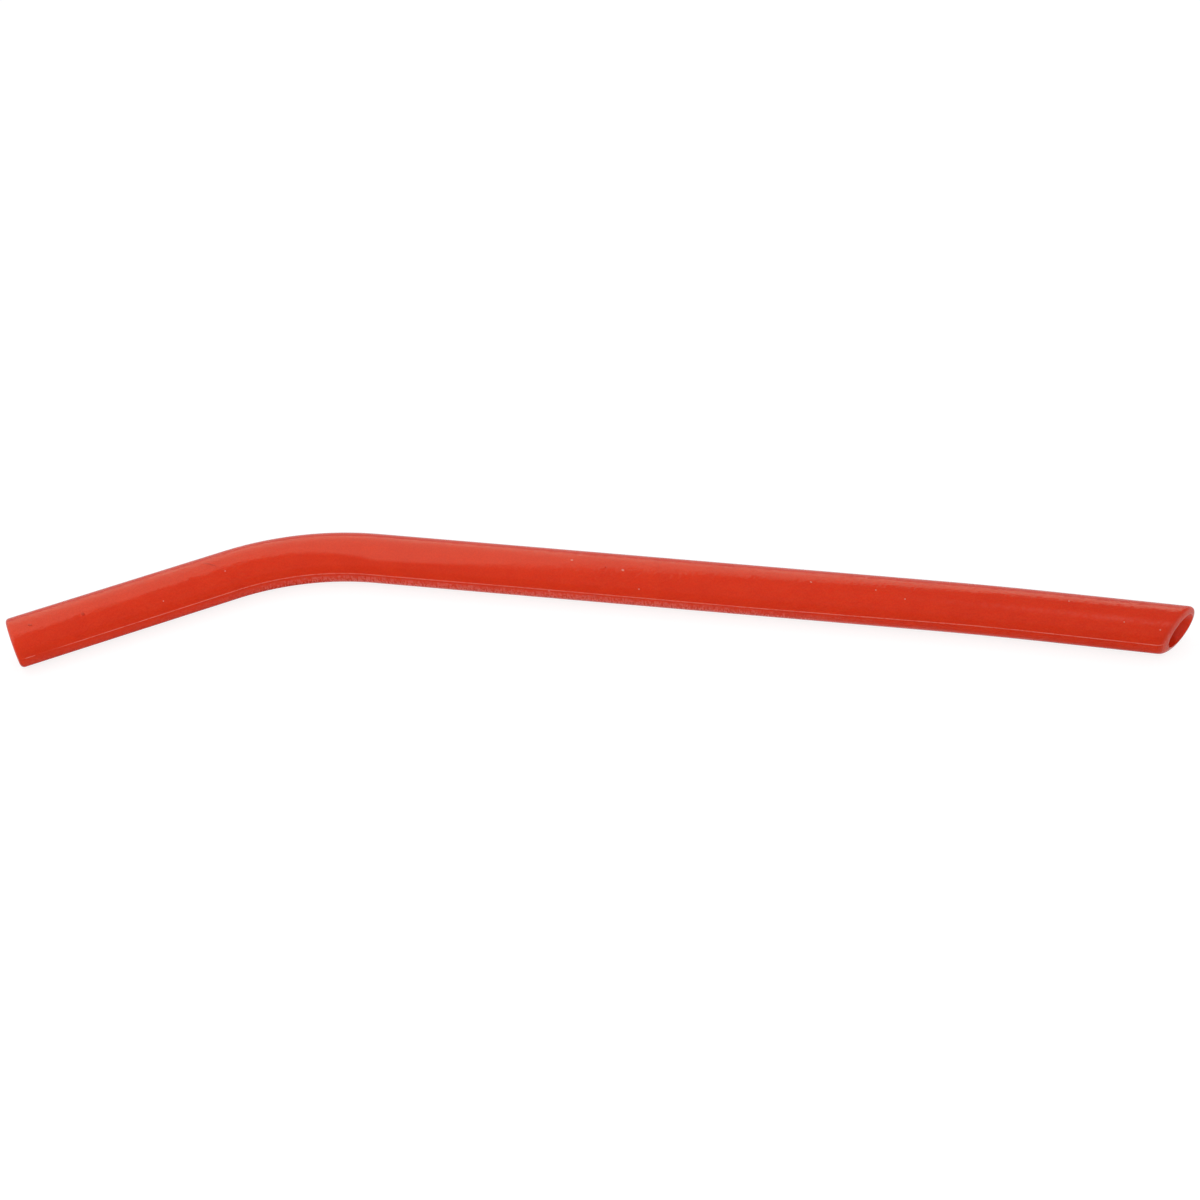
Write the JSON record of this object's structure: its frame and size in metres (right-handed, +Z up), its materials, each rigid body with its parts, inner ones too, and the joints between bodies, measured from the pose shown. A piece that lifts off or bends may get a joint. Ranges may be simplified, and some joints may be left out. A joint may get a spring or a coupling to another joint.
{
  "type": "drinking straw",
  "caption": "Reusable soft drinking straw: a round tube bent once near the mouth end, with a square rim there and a slanted, rounded rim at the far end.",
  "frame": {"origin": "on the surface the straw lies on, under the middle of its outline", "axes": "+X along the long run, from the bend towards the slanted end; +Y in the plane of the bend, towards the outside of the bend; +Z up from the surface the straw lies on"},
  "size_m": [0.242, 0.0452, 0.0105],
  "materials": {
    "silicone": "matte"
  },
  "bodies": {
    "root": {"straw": "silicone"}
  },
  "joints": []
}
